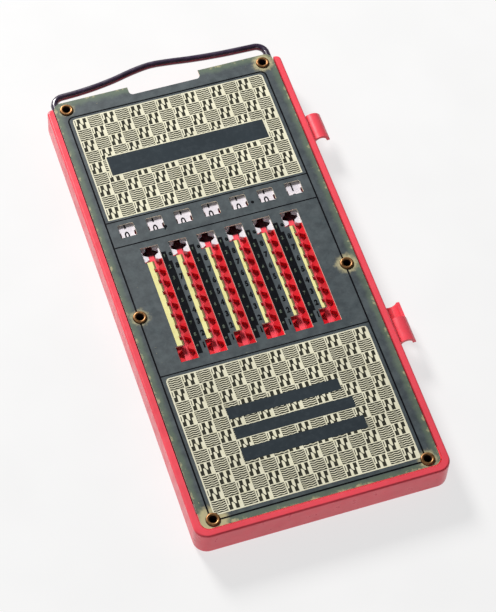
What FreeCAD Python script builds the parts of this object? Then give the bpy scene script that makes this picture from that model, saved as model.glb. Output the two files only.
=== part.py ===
import FreeCAD, Part
import math
import os

import Sketcher
from FreeCAD import Vector

# Pocket slide adder: a moulded tray holds seven toothed sliders under a thin
# printed metal plate. Six eyelets hold the plate down. A wire bail at the top
# end draws a flat bar that sweeps every slider back to zero.
#
# Frame: X to the right, Y towards the bail, Z up, origin in the middle of the
# flat underside, below the plate's centre. All lengths are millimetres.

COLUMNS = ["millions", "hundred_thousands", "ten_thousands", "thousands", "hundreds", "tens", "units"]

DRIVING = [
    ("plate_length", 150.0, "front plate, along Y"),
    ("plate_margin", 9.08, "row of sliders to the plate's side, without the row's shift"),
    ("plate_thick", 0.5, "sheet metal of the front plate"),
    ("plate_corner", 2.4, "corner radius of the plate"),
    ("plate_gap", 0.4, "play between the plate and the rim"),
    ("seat_height", 9.2, "underside of the tray to the plate's seat"),
    ("rim_side", 2.0, "width of the side rims"),
    ("rim_end", 2.1, "width of the lower end rim"),
    ("rim_rise", 0.35, "rim above the plate's face"),
    ("rim_round", 0.6, "rounding of the rim's outer edge"),
    ("foot_bevel", 1.1, "bevel of the tray's bottom edge"),
    ("tray_corner", 4.0, "outer corner radius at the lower end"),
    ("nose_corner", 1.5, "outer corner radius at the bail end"),
    ("end_setback", 1.7, "plate stands out past the tray at the bail end"),
    ("columns", 7.0, "number of sliders"),
    ("column_pitch", 8.64, "distance between neighbouring sliders"),
    ("column_shift", -0.5, "middle of the row of sliders from the plate's centre line"),
    ("tooth_pitch", 4.0, "one digit of travel"),
    ("travel_steps", 10.0, "digits of travel"),
    ("window_width", 4.9, "result window, along X"),
    ("window_height", 4.6, "result window, along Y"),
    ("window_lead", 27.45, "result windows above the middle of the slots"),
    ("slot_width", 2.7, "straight part of a slot"),
    ("slot_tip", 0.2, "slot longer than the travel"),
    ("hook_height", 5.3, "hook at each end of a slot, along Y"),
    ("scallop_width", 1.4, "square scallops along a slot's left edge"),
    ("scallop_lead", 11.55, "highest scallop above the middle of the slots"),
    ("scallop_steps", 6.0, "steps from the highest to the lowest scallop"),
    ("window_corner", 0.5, "corner radius of the result windows"),
    ("notch_width", 22.6, "finger notch in the plate's top edge"),
    ("notch_depth", 3.0, "depth of the finger notch"),
    ("notch_corner", 1.2, "corner radius of the finger notch"),
    ("slider_width", 6.6, "slider over its tooth tips"),
    ("slider_thick", 1.6, "slider thickness"),
    ("top_margin", 10.5, "upper end of a slider at zero to the plate's end"),
    ("slider_tail", 3.5, "slider below the centre of its last tooth"),
    ("tooth_lead", 0.55, "lowest tooth above the foot of its stroke in the slot"),
    ("tooth_tip", 1.0, "length of a tooth at its tip"),
    ("tooth_root", 2.6, "length of a tooth at its root"),
    ("tooth_depth", 1.35, "height of a tooth"),
    ("smooth_top", 4.5, "upper end of a slider without teeth, at least"),
    ("side_play", 0.2, "slider to rib, on each side"),
    ("run_gap", 0.25, "clearance above and below the moving pieces"),
    ("end_play", 0.5, "slider or bar to its stop"),
    ("rib_rise", 0.8, "guide ribs above the sliders' beds"),
    ("wire_dia", 1.9, "coated wire of the bail"),
    ("leg_inset", 0.75, "bail leg to the plate's side"),
    ("leg_play", 0.2, "bail leg to its channel, on each side"),
    ("bail_bend", 3.0, "bend radius at the bail's shoulders"),
    ("shoulder_reach", 4.5, "bail's shoulder past the plate's edge"),
    ("arch_rise", 4.0, "bail's arch above its shoulders"),
    ("arch_half", 17.0, "half width of the bail's arch"),
    ("bar_margin", 7.5, "middle of the clearing bar to the plate's lower end"),
    ("bar_width", 3.0, "clearing bar, along Y"),
    ("bar_thick", 0.8, "clearing bar thickness"),
    ("eyelet_outer", 2.4, "eyelet barrel outside"),
    ("eyelet_bore", 1.7, "eyelet barrel inside"),
    ("eyelet_flange", 4.2, "eyelet flange"),
    ("eyelet_crown", 0.45, "eyelet flange above the plate"),
    ("eyelet_depth", 5.0, "eyelet barrel below the plate's face"),
    ("eyelet_play", 0.05, "eyelet barrel to its hole"),
    ("flange_bevel", 0.25, "bevel of the flange's outer edge"),
    ("mouth_bevel", 0.2, "bevel of the flange's bore"),
    ("corner_inset", 3.6, "corner eyelets to the plate's side"),
    ("waist_inset", 3.4, "middle eyelets to the plate's side"),
    ("upper_inset", 3.0, "upper eyelets to the plate's end"),
    ("lower_inset", 2.4, "lower eyelets to the plate's end"),
    ("eyelet_mid", -5.0, "middle eyelets, along Y"),
    ("loop_bore", 3.8, "bore of the stylus loops"),
    ("loop_wall", 1.0, "wall of the stylus loops"),
    ("loop_root", 0.7, "stylus bore to the tray's side"),
    ("loop_height", 5.6, "centre of the stylus bore above the underside"),
    ("upper_loop_place", 45.6, "centre of the upper loop, along Y"),
    ("upper_loop_length", 9.0, "upper loop, along Y"),
    ("cradle_place", -23.2, "centre of the open cradle, along Y"),
    ("cradle_length", 7.0, "open cradle, along Y"),
    ("lower_loop_length", 8.0, "lower loop, along Y"),
    ("loop_overlap", 0.8, "lower loop over the end of the cradle"),
    ("cut_past", 6.0, "how far an open cut runs past its edge"),
]

DERIVED = [
    ("column_span", "(columns - 1) * column_pitch"),
    ("plate_width", "column_span + 2 * plate_margin"),
    ("half_width", "plate_width / 2 + plate_gap + rim_side"),
    ("tray_width", "2 * half_width"),
    ("tray_end", "plate_length / 2 - end_setback"),
    ("tray_foot", "-plate_length / 2 - plate_gap - rim_end"),
    ("tray_length", "tray_end - tray_foot"),
    ("tray_middle", "(tray_end + tray_foot) / 2"),
    ("rim_height", "seat_height + plate_thick + rim_rise"),
    ("seat_width", "plate_width + 2 * plate_gap"),
    ("seat_foot", "-plate_length / 2 - plate_gap"),
    ("seat_length", "tray_end + cut_past - seat_foot"),
    ("seat_middle", "(tray_end + cut_past + seat_foot) / 2"),
    ("seat_corner", "plate_corner + plate_gap"),
    ("seat_cut", "rim_height - seat_height"),
    ("plate_face", "seat_height + plate_thick"),
    ("slide_travel", "tooth_pitch * travel_steps"),
    ("bar_centre", "-plate_length / 2 + bar_margin"),
    ("slider_foot", "bar_centre + bar_width / 2 + end_play + slide_travel"),
    ("first_tooth", "slider_foot + slider_tail"),
    ("slot_place", "first_tooth + slide_travel / 2 - tooth_lead"),
    ("window_place", "slot_place + window_lead"),
    ("scallop_place", "slot_place + scallop_lead"),
    ("slider_top", "plate_length / 2 - top_margin"),
    ("slot_length", "slide_travel + slot_tip"),
    ("hook_width", "2 * slot_width"),
    ("first_column", "column_shift - (columns - 1) / 2 * column_pitch"),
    ("slot_shift", "first_column + column_pitch / 2"),
    ("straight_shift", "slot_shift + slot_width / 2"),
    ("high_hook", "slot_place + slot_length / 2 - hook_height / 2"),
    ("low_hook", "slot_place - slot_length / 2 + hook_height / 2"),
    ("slot_span", "(columns - 2) * column_pitch"),
    ("scallop_span", "scallop_steps * tooth_pitch"),
    ("plate_notch_place", "plate_length / 2 - notch_depth + (notch_depth + cut_past) / 2"),
    ("plate_notch_height", "notch_depth + cut_past"),
    ("slider_length", "slider_top - slider_foot"),
    ("slider_middle", "(slider_top + slider_foot) / 2"),
    ("slider_half", "slider_width / 2"),
    ("slider_base", "seat_height - run_gap - slider_thick"),
    ("gap_place", "first_tooth + tooth_pitch / 2"),
    ("gap_mouth", "tooth_pitch - tooth_tip"),
    ("gap_floor", "tooth_pitch - tooth_root"),
    ("gap_root", "slider_half - tooth_depth"),
    ("tooth_gaps", "floor((slider_length - slider_tail - smooth_top) / tooth_pitch)"),
    ("gap_span", "(tooth_gaps - 1) * tooth_pitch"),
    ("bed_height", "slider_base - run_gap"),
    ("rib_height", "bed_height + rib_rise"),
    ("rib_cut", "rim_height - rib_height"),
    ("groove_width", "slider_width + 2 * side_play"),
    ("bay_width", "column_span + groove_width"),
    ("bay_top", "slider_top + end_play"),
    ("bay_foot", "bar_centre - bar_width / 2 - end_play"),
    ("bay_length", "bay_top - bay_foot"),
    ("bay_middle", "(bay_top + bay_foot) / 2"),
    ("bar_base", "seat_height - run_gap - bar_thick"),
    ("leg_place", "plate_width / 2 - leg_inset"),
    ("bar_length", "2 * leg_place + wire_dia"),
    ("sweep_top", "slider_foot + end_play"),
    ("sweep_length", "sweep_top - bay_foot"),
    ("sweep_middle", "(sweep_top + bay_foot) / 2"),
    ("wire_radius", "wire_dia / 2"),
    ("wire_height", "seat_height - run_gap - wire_radius"),
    ("leg_width", "wire_dia + 2 * leg_play"),
    ("leg_cut", "rim_height - wire_height + wire_radius + run_gap"),
    ("leg_length", "tray_end + cut_past - bay_foot"),
    ("leg_middle", "(tray_end + cut_past + bay_foot) / 2"),
    ("leg_foot", "bar_centre + bar_width / 2"),
    ("tray_notch_width", "notch_width + 2 * notch_corner"),
    ("tray_notch_foot", "plate_length / 2 - notch_depth - notch_corner"),
    ("tray_notch_height", "tray_end + cut_past - tray_notch_foot"),
    ("tray_notch_place", "(tray_end + cut_past + tray_notch_foot) / 2"),
    ("eyelet_side", "plate_width / 2 - corner_inset"),
    ("eyelet_waist", "plate_width / 2 - waist_inset"),
    ("eyelet_high", "plate_length / 2 - upper_inset"),
    ("eyelet_low", "-plate_length / 2 + lower_inset"),
    ("eyelet_hole", "eyelet_outer + 2 * eyelet_play"),
    ("eyelet_bottom", "plate_face - eyelet_depth"),
    ("eyelet_top", "plate_face + eyelet_crown"),
    ("eyelet_length", "eyelet_depth + eyelet_crown"),
    ("eyelet_cut", "rim_height - eyelet_bottom + eyelet_play"),
    ("shoulder_place", "plate_length / 2 + shoulder_reach"),
    ("arch_radius", "(arch_half ^ 2 + arch_rise ^ 2) / (4 * arch_rise)"),
    ("loop_inner", "loop_bore / 2"),
    ("loop_outer", "loop_inner + loop_wall"),
    ("loop_centre", "half_width + loop_root + loop_inner"),
    ("lower_loop_place", "cradle_place - cradle_length / 2 - lower_loop_length / 2 + loop_overlap"),
]

doc = FreeCAD.newDocument("slide_adder")
sheet = doc.addObject("Spreadsheet::Sheet", "sizes")


def fill_sheet():
    """Write every size, its name and what it is into the spreadsheet."""
    rows = [(alias, str(number), note) for alias, number, note in DRIVING]
    rows += [(alias, "=" + formula, alias.replace("_", " ")) for alias, formula in DERIVED]
    for row, (alias, content, note) in enumerate(rows, start=1):
        sheet.set("A%d" % row, note)
        sheet.set("B%d" % row, content)
        sheet.setAlias("B%d" % row, alias)
    doc.recompute()


def size(alias):
    """The number behind an alias. A leading minus turns its sign."""
    if alias.startswith("-"):
        return -size(alias[1:])
    return float(sheet.get(alias))


def bind(thing, target, alias):
    """Tie a property or a sketch constraint to a cell of the sheet."""
    sign = "-" if alias.startswith("-") else ""
    thing.setExpression(target, sign + "sizes." + alias.lstrip("-"))


def new_body(name):
    body = doc.addObject("PartDesign::Body", name)
    body.Label = name
    return body


def origin_plane(body, role):
    for plane in body.Origin.OriginFeatures:
        if plane.Role == role:
            return plane
    raise ValueError("no plane " + role)


def sketch_at(body, name, role="XY_Plane", x=None, y=None, z=None):
    """A sketch on one of the body's planes, shifted by cells along its own axes."""
    sketch = body.newObject("Sketcher::SketchObject", name)
    sketch.AttachmentSupport = [(origin_plane(body, role), "")]
    sketch.MapMode = "FlatFace"
    for axis, alias in (("x", x), ("y", y), ("z", z)):
        if alias:
            bind(sketch, "AttachmentOffset.Base." + axis, alias)
    return sketch


def constrain(sketch, name, alias, *terms):
    """Add a dimension with the cell's value and keep it tied to the cell."""
    index = sketch.addConstraint(Sketcher.Constraint(*terms, abs(size(alias))))
    sketch.renameConstraint(index, name)
    bind(sketch, "Constraints." + name, alias)


def rectangle(sketch, width, height):
    """A rectangle centred on the sketch's origin."""
    w = size(width) / 2
    t = size(height) / 2
    corners = [Vector(-w, -t, 0), Vector(w, -t, 0), Vector(w, t, 0), Vector(-w, t, 0)]
    for i in range(4):
        sketch.addGeometry(Part.LineSegment(corners[i], corners[(i + 1) % 4]))
    for i in range(4):
        sketch.addConstraint(Sketcher.Constraint("Coincident", i, 2, (i + 1) % 4, 1))
        kind = "Vertical" if i % 2 else "Horizontal"
        sketch.addConstraint(Sketcher.Constraint(kind, i))
    sketch.addConstraint(Sketcher.Constraint("Symmetric", 0, 1, 2, 1, -1, 1))
    constrain(sketch, "width", width, "DistanceX", 0, 1, 0, 2)
    constrain(sketch, "height", height, "DistanceY", 1, 1, 1, 2)


def rounded_rectangle(sketch, width, height, radius):
    """A rectangle with four equal round corners, centred on the sketch's origin."""
    r = size(radius)
    w = size(width) / 2
    t = size(height) / 2
    centres = [
        Vector(w - r, -t + r, 0),
        Vector(w - r, t - r, 0),
        Vector(-w + r, t - r, 0),
        Vector(-w + r, -t + r, 0),
    ]
    sides = [
        (Vector(-w + r, -t, 0), Vector(w - r, -t, 0)),
        (Vector(w, -t + r, 0), Vector(w, t - r, 0)),
        (Vector(w - r, t, 0), Vector(-w + r, t, 0)),
        (Vector(-w, t - r, 0), Vector(-w, -t + r, 0)),
    ]
    for i in range(4):
        sketch.addGeometry(Part.LineSegment(*sides[i]))
        ring = Part.Circle(centres[i], Vector(0, 0, 1), r)
        start = math.radians(90 * i - 90)
        sketch.addGeometry(Part.ArcOfCircle(ring, start, start + math.pi / 2))
    for i in range(4):
        line = 2 * i
        arc = 2 * i + 1
        following = (2 * i + 2) % 8
        sketch.addConstraint(Sketcher.Constraint("Tangent", line, 2, arc, 1))
        sketch.addConstraint(Sketcher.Constraint("Tangent", arc, 2, following, 1))
        kind = "Vertical" if i % 2 else "Horizontal"
        sketch.addConstraint(Sketcher.Constraint(kind, line))
        if i:
            sketch.addConstraint(Sketcher.Constraint("Equal", 1, arc))
    sketch.addConstraint(Sketcher.Constraint("Symmetric", 1, 3, 5, 3, -1, 1))
    constrain(sketch, "width", width, "DistanceX", 6, 1, 2, 1)
    constrain(sketch, "height", height, "DistanceY", 0, 1, 4, 2)
    constrain(sketch, "radius", radius, "Radius", 1)


def circle(sketch, diameter):
    """A circle centred on the sketch's origin."""
    sketch.addGeometry(Part.Circle(Vector(0, 0, 0), Vector(0, 0, 1), size(diameter) / 2))
    sketch.addConstraint(Sketcher.Constraint("Coincident", 0, 3, -1, 1))
    constrain(sketch, "diameter", diameter, "Diameter", 0)


def extrude(body, kind, name, sketch, length, **settings):
    """A Pad or a Pocket of a sketch, as deep as a cell says."""
    feature = body.newObject("PartDesign::" + kind, name)
    feature.Profile = sketch
    bind(feature, "Length", length)
    for key, value in settings.items():
        setattr(feature, key, value)
    sketch.Visibility = False
    doc.recompute()
    return feature


def pocket(body, name, outline, x, y, z, depth, role="XY_Plane"):
    """Cut downwards from the height z. The outline is a drawing function and its cells."""
    sketch = sketch_at(body, name + "_outline", role, x, y, z)
    outline[0](sketch, *outline[1:])
    return extrude(body, "Pocket", name, sketch, depth)


def row_of(body, name, feature, axis, length, count):
    """Repeat a feature in a row along an axis of the body's origin."""
    pattern = body.newObject("PartDesign::LinearPattern", name)
    pattern.Originals = [feature]
    pattern.Direction = (origin_plane(body, axis), [""])
    bind(pattern, "Length", length)
    pattern.Occurrences = count
    body.Tip = pattern
    doc.recompute()
    return pattern


def ease(body, kind, name, base, amount, wanted):
    """Fillet or chamfer those edges of the feature that the test picks out."""
    picked = [
        "Edge%d" % (i + 1)
        for i, edge in enumerate(base.Shape.Edges)
        if wanted(edge.BoundBox)
    ]
    feature = body.newObject("PartDesign::" + kind, name)
    feature.Base = (base, picked)
    bind(feature, {"Fillet": "Radius", "Chamfer": "Size"}[kind], amount)
    doc.recompute()
    return feature


def near(first, second):
    return abs(first - second) < 1e-3


EYELETS = {
    "eyelet_upper_left": ("-eyelet_side", "eyelet_high"),
    "eyelet_upper_right": ("eyelet_side", "eyelet_high"),
    "eyelet_middle_left": ("-eyelet_waist", "eyelet_mid"),
    "eyelet_middle_right": ("eyelet_waist", "eyelet_mid"),
    "eyelet_lower_left": ("-eyelet_side", "eyelet_low"),
    "eyelet_lower_right": ("eyelet_side", "eyelet_low"),
}


def eyelet_holes(body, depth):
    for name, (x, y) in EYELETS.items():
        pocket(body, name + "_hole", (circle, "eyelet_hole"), x, y, "rim_height", depth)


def half_ring(sketch, inner, outer, upper):
    """Half of a ring round the sketch's origin, above or below it."""
    a = size(inner)
    b = size(outer)
    start = 0 if upper else math.pi
    for radius in (a, b):
        ring = Part.Circle(Vector(0, 0, 0), Vector(0, 0, 1), radius)
        sketch.addGeometry(Part.ArcOfCircle(ring, start, start + math.pi))
    side = 1 if upper else -1
    sketch.addGeometry(Part.LineSegment(Vector(side * a, 0, 0), Vector(side * b, 0, 0)))
    sketch.addGeometry(Part.LineSegment(Vector(-side * a, 0, 0), Vector(-side * b, 0, 0)))
    for arc in (0, 1):
        sketch.addConstraint(Sketcher.Constraint("Coincident", arc, 3, -1, 1))
        sketch.addConstraint(Sketcher.Constraint("Coincident", arc, 1, 2, arc + 1))
        sketch.addConstraint(Sketcher.Constraint("Coincident", arc, 2, 3, arc + 1))
        sketch.addConstraint(Sketcher.Constraint("PointOnObject", arc, 1, -1))
        sketch.addConstraint(Sketcher.Constraint("PointOnObject", arc, 2, -1))
    constrain(sketch, "inner", inner, "Radius", 0)
    constrain(sketch, "outer", outer, "Radius", 1)


def stylus_loop(body, name, place, length, upper):
    """A half pipe on the tray's right side, open below or open above."""
    sketch = sketch_at(body, name + "_outline", "XZ_Plane", "loop_centre", "loop_height", "-" + place)
    half_ring(sketch, "loop_inner", "loop_outer", upper)
    return extrude(body, "Pad", name, sketch, length, SideType="Symmetric")


def make_tray():
    body = new_body("body_shell")
    outline = sketch_at(body, "tray_outline", y="tray_middle")
    rectangle(outline, "tray_width", "tray_length")
    block = extrude(body, "Pad", "tray_block", outline, "rim_height")
    foot = size("tray_foot")
    end = size("tray_end")
    low = ease(body, "Fillet", "lower_corners", block, "tray_corner",
               lambda box: box.ZLength > 1 and near(box.YMin, foot) and near(box.YMax, foot))
    nose = ease(body, "Fillet", "nose_corners", low, "nose_corner",
                lambda box: box.ZLength > 1 and near(box.YMin, end) and near(box.YMax, end))
    base = ease(body, "Chamfer", "bottom_edge", nose, "foot_bevel",
                lambda box: near(box.ZMin, 0) and near(box.ZMax, 0))
    rim = size("rim_height")
    ease(body, "Fillet", "rim_edge", base, "rim_round",
         lambda box: near(box.ZMin, rim) and near(box.ZMax, rim))
    pocket(body, "plate_seat", (rounded_rectangle, "seat_width", "seat_length", "seat_corner"),
           None, "seat_middle", "rim_height", "seat_cut")
    for side, place in (("left", "-leg_place"), ("right", "leg_place")):
        pocket(body, side + "_leg_channel", (rectangle, "leg_width", "leg_length"),
               place, "leg_middle", "rim_height", "leg_cut")
    pocket(body, "slider_bay", (rectangle, "bay_width", "bay_length"),
           "column_shift", "bay_middle", "rim_height", "rib_cut")
    pocket(body, "bar_sweep", (rectangle, "seat_width", "sweep_length"),
           None, "sweep_middle", "rim_height", "rib_cut")
    groove = pocket(body, "slider_groove", (rectangle, "groove_width", "bay_length"),
                    "first_column", "bay_middle", "rib_height", "rib_rise")
    row_of(body, "slider_grooves", groove, "X_Axis", "column_span", len(COLUMNS))
    pocket(body, "finger_notch", (rectangle, "tray_notch_width", "tray_notch_height"),
           None, "tray_notch_place", "rim_height", "rim_height")
    eyelet_holes(body, "eyelet_cut")
    stylus_loop(body, "upper_loop", "upper_loop_place", "upper_loop_length", True)
    stylus_loop(body, "open_cradle", "cradle_place", "cradle_length", False)
    stylus_loop(body, "lower_loop", "lower_loop_place", "lower_loop_length", True)
    return body


def make_plate():
    body = new_body("front_plate")
    outline = sketch_at(body, "plate_outline", z="seat_height")
    rounded_rectangle(outline, "plate_width", "plate_length", "plate_corner")
    extrude(body, "Pad", "plate_sheet", outline, "plate_thick")
    window = pocket(body, "window", (rounded_rectangle, "window_width", "window_height", "window_corner"),
                    "first_column", "window_place", "plate_face", "plate_thick")
    row_of(body, "windows", window, "X_Axis", "column_span", len(COLUMNS))
    straight = pocket(body, "slot", (rectangle, "slot_width", "slot_length"),
                      "straight_shift", "slot_place", "plate_face", "plate_thick")
    row_of(body, "slots", straight, "X_Axis", "slot_span", len(COLUMNS) - 1)
    for name, place in (("carry_hook", "high_hook"), ("borrow_hook", "low_hook")):
        hook = pocket(body, name, (rectangle, "hook_width", "hook_height"),
                      "slot_shift", place, "plate_face", "plate_thick")
        row_of(body, name + "s", hook, "X_Axis", "slot_span", len(COLUMNS) - 1)
    scallop = pocket(body, "scallop", (rectangle, "scallop_width", "scallop_width"),
                     "slot_shift", "scallop_place", "plate_face", "plate_thick")
    scallops = row_of(body, "scallops", scallop, "X_Axis", "slot_span", len(COLUMNS) - 1)
    scallops.Direction2 = (origin_plane(body, "Y_Axis"), [""])
    scallops.Reversed2 = True
    bind(scallops, "Length2", "scallop_span")
    scallops.Occurrences2 = int(size("scallop_steps")) + 1
    doc.recompute()
    pocket(body, "plate_notch", (rounded_rectangle, "notch_width", "plate_notch_height", "notch_corner"),
           None, "plate_notch_place", "plate_face", "plate_thick")
    eyelet_holes(body, "seat_cut")
    return body


def tooth_gap(sketch, side):
    """The gap between two teeth on one edge, as a trapezium open to that side."""
    tip = size("slider_half")
    root = size("gap_root")
    mouth = size("gap_mouth") / 2
    floor = size("gap_floor") / 2
    points = [Vector(side * tip, -mouth, 0), Vector(side * root, -floor, 0),
              Vector(side * root, floor, 0), Vector(side * tip, mouth, 0)]
    first = sketch.GeometryCount
    for i in range(4):
        sketch.addGeometry(Part.LineSegment(points[i], points[(i + 1) % 4]))
    for i in range(4):
        following = first + (i + 1) % 4
        sketch.addConstraint(Sketcher.Constraint("Coincident", first + i, 2, following, 1))
    sketch.addConstraint(Sketcher.Constraint("Symmetric", first + 1, 1, first + 1, 2, -1))
    sketch.addConstraint(Sketcher.Constraint("Symmetric", first + 3, 1, first + 3, 2, -1))
    word = "right" if side > 0 else "left"
    origin_first = (-1, 1, first + 1, 1) if side > 0 else (first + 1, 1, -1, 1)
    constrain(sketch, word + "_root", "gap_root", "DistanceX", *origin_first)
    origin_first = (-1, 1, first, 1) if side > 0 else (first, 1, -1, 1)
    constrain(sketch, word + "_tip", "slider_half", "DistanceX", *origin_first)
    constrain(sketch, word + "_floor", "gap_floor", "DistanceY", first + 1, 1, first + 1, 2)
    constrain(sketch, word + "_mouth", "gap_mouth", "DistanceY", first + 3, 2, first + 3, 1)


def tooth_gap_pair(sketch):
    tooth_gap(sketch, -1)
    tooth_gap(sketch, 1)


def make_slider(number, name):
    """One toothed slider, standing at zero. Both edges carry a row of teeth."""
    body = new_body("slider_" + name)
    outline = sketch_at(body, name + "_outline", y="slider_middle", z="slider_base")
    rectangle(outline, "slider_width", "slider_length")
    extrude(body, "Pad", name + "_strip", outline, "slider_thick")
    sketch = sketch_at(body, name + "_gap_outline", y="gap_place", z="seat_height")
    tooth_gap_pair(sketch)
    gap = extrude(body, "Pocket", name + "_gap", sketch, "seat_height")
    row_of(body, name + "_gaps", gap, "Y_Axis", "gap_span", int(size("tooth_gaps")))
    body.setExpression("Placement.Base.x", "sizes.first_column + %d * sizes.column_pitch" % number)
    return body


def make_eyelet(name, x, y):
    """A hollow brass eyelet: a rolled flange on the plate and a barrel in the tray."""
    body = new_body(name)
    outline = sketch_at(body, name + "_flange_outline", z="plate_face")
    circle(outline, "eyelet_flange")
    flange = extrude(body, "Pad", name + "_flange", outline, "eyelet_crown")
    top = size("eyelet_top")
    ease(body, "Chamfer", name + "_edge", flange, "flange_bevel",
         lambda box: near(box.ZMin, top) and near(box.ZMax, top))
    outline = sketch_at(body, name + "_barrel_outline", z="eyelet_bottom")
    circle(outline, "eyelet_outer")
    extrude(body, "Pad", name + "_barrel", outline, "eyelet_depth")
    bore = pocket(body, name + "_bore", (circle, "eyelet_bore"), None, None, "eyelet_top", "eyelet_length")
    ease(body, "Chamfer", name + "_mouth", bore, "mouth_bevel",
         lambda box: near(box.ZMin, top) and near(box.ZMax, top) and box.XLength < size("eyelet_outer"))
    body.setExpression("Placement.Base.x", x.replace("eyelet", "sizes.eyelet"))
    body.setExpression("Placement.Base.y", y.replace("eyelet", "sizes.eyelet"))
    return body


def make_bar():
    """The flat bar that lies below the sliders and sweeps them up to zero."""
    body = new_body("clearing_bar")
    outline = sketch_at(body, "bar_outline", y="bar_centre", z="bar_base")
    rectangle(outline, "bar_length", "bar_width")
    extrude(body, "Pad", "bar_strip", outline, "bar_thick")
    return body


def bail_route(sketch):
    """Two legs, two bends, two shoulders and a low arch of three equal arcs."""
    leg = size("leg_place")
    foot = size("leg_foot")
    bend = size("bail_bend")
    shoulder = size("shoulder_place")
    half = size("arch_half")
    rise = size("arch_rise")
    radius = size("arch_radius")
    swing = math.asin(half / 2 / radius)
    quarter = math.pi / 2

    def arc(x, y, r, start, end):
        sketch.addGeometry(Part.ArcOfCircle(Part.Circle(Vector(x, y, 0), Vector(0, 0, 1), r), start, end))

    def line(x0, y0, x1, y1):
        sketch.addGeometry(Part.LineSegment(Vector(x0, y0, 0), Vector(x1, y1, 0)))

    line(-leg, foot, -leg, shoulder - bend)
    arc(-leg + bend, shoulder - bend, bend, quarter, 2 * quarter)
    line(-leg + bend, shoulder, -half, shoulder)
    arc(-half, shoulder + radius, radius, 3 * quarter, 3 * quarter + swing)
    arc(0, shoulder + rise - radius, radius, quarter - swing, quarter + swing)
    arc(half, shoulder + radius, radius, 3 * quarter - swing, 3 * quarter)
    line(half, shoulder, leg - bend, shoulder)
    arc(leg - bend, shoulder - bend, bend, 0, quarter)
    line(leg, shoulder - bend, leg, foot)
    for joint in ((0, 2, 1, 2), (1, 1, 2, 1), (2, 2, 3, 1), (3, 2, 4, 2), (5, 2, 6, 1), (6, 2, 7, 2)):
        sketch.addConstraint(Sketcher.Constraint("Tangent", *joint))
    for joint in ((4, 1, 5, 1), (7, 1, 8, 1)):
        sketch.addConstraint(Sketcher.Constraint("Coincident", *joint))
    for pair in ((2, 2, 6, 1), (2, 1, 6, 2), (0, 2, 8, 1), (0, 1, 8, 2)):
        sketch.addConstraint(Sketcher.Constraint("Symmetric", *pair, -2))
    sketch.addConstraint(Sketcher.Constraint("Vertical", 0))
    sketch.addConstraint(Sketcher.Constraint("Horizontal", 2))
    sketch.addConstraint(Sketcher.Constraint("PointOnObject", 4, 3, -2))
    sketch.addConstraint(Sketcher.Constraint("Horizontal", 4, 1, 4, 2))
    sketch.addConstraint(Sketcher.Constraint("Equal", 3, 4))
    constrain(sketch, "bend", "bail_bend", "Radius", 1)
    constrain(sketch, "arch", "arch_radius", "Radius", 4)
    constrain(sketch, "leg", "leg_place", "DistanceX", 0, 1, -1, 1)
    constrain(sketch, "foot", "-leg_foot", "DistanceY", 0, 1, -1, 1)
    constrain(sketch, "shoulder", "shoulder_place", "DistanceY", -1, 1, 2, 1)
    constrain(sketch, "half", "arch_half", "DistanceX", 2, 2, -1, 1)


def make_bail():
    """The coated wire bail. Both legs end on the clearing bar."""
    body = new_body("clearing_bail")
    route = sketch_at(body, "bail_route", z="wire_height")
    bail_route(route)
    section = sketch_at(body, "wire_section", "XZ_Plane", "-leg_place", "wire_height", "-leg_foot")
    circle(section, "wire_dia")
    doc.recompute()
    pipe = body.newObject("PartDesign::AdditivePipe", "bail_wire")
    pipe.Profile = section
    pipe.Spine = (route, ["Edge%d" % (i + 1) for i in range(route.GeometryCount)])
    doc.recompute()
    return body


def check_and_export(bodies):
    """Stop on any failed feature or bad solid, then write one STEP file for each piece."""
    failed = [thing.Name for thing in doc.Objects if {"Invalid", "Error"} & set(thing.State)]
    if failed:
        raise RuntimeError("failed features: " + ", ".join(failed))
    for body in bodies:
        shape = body.Shape
        if shape.isNull() or not shape.isValid() or len(shape.Solids) != 1:
            raise RuntimeError("bad solid: " + body.Label)
    os.makedirs("parts", exist_ok=True)
    for body in bodies:
        box = body.Shape.BoundBox
        body.Shape.exportStep("parts/" + body.Label + ".step")
        print("%-24s volume %9.1f  z %.2f to %.2f  y %.2f to %.2f" % (
            body.Label, body.Shape.Volume, box.ZMin, box.ZMax, box.YMin, box.YMax))


fill_sheet()
pieces = [make_tray(), make_plate()]
for number, column in enumerate(COLUMNS):
    pieces.append(make_slider(number, column))
for eyelet, (across, along) in EYELETS.items():
    pieces.append(make_eyelet(eyelet, across, along))
pieces.append(make_bail())
pieces.append(make_bar())
doc.recompute()
check_and_export(pieces)
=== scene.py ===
"""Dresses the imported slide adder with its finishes, printed face and digits, in a plain studio."""

import math

import bmesh
import bpy
from bpy.props import FloatProperty, FloatVectorProperty, IntProperty, PointerProperty
from bpy.types import Operator, Panel, PropertyGroup
from mathutils import Matrix, Vector


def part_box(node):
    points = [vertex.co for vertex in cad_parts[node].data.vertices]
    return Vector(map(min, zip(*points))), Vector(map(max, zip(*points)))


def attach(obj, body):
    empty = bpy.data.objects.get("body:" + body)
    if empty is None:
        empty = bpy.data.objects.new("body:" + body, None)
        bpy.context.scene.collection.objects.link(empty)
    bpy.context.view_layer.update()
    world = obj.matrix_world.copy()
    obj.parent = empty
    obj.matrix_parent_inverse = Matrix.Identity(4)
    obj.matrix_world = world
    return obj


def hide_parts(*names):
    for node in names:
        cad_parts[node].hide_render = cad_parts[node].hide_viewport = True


bl_info = {
    "name": "Slide Adder Dressing",
    "version": (1, 0, 0),
    "blender": (4, 5, 0),
    "location": "View3D > Sidebar > Slide Adder",
    "description": "Finishes, printed face, digits and studio for a pocket slide adder",
    "category": "Object",
}

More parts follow.
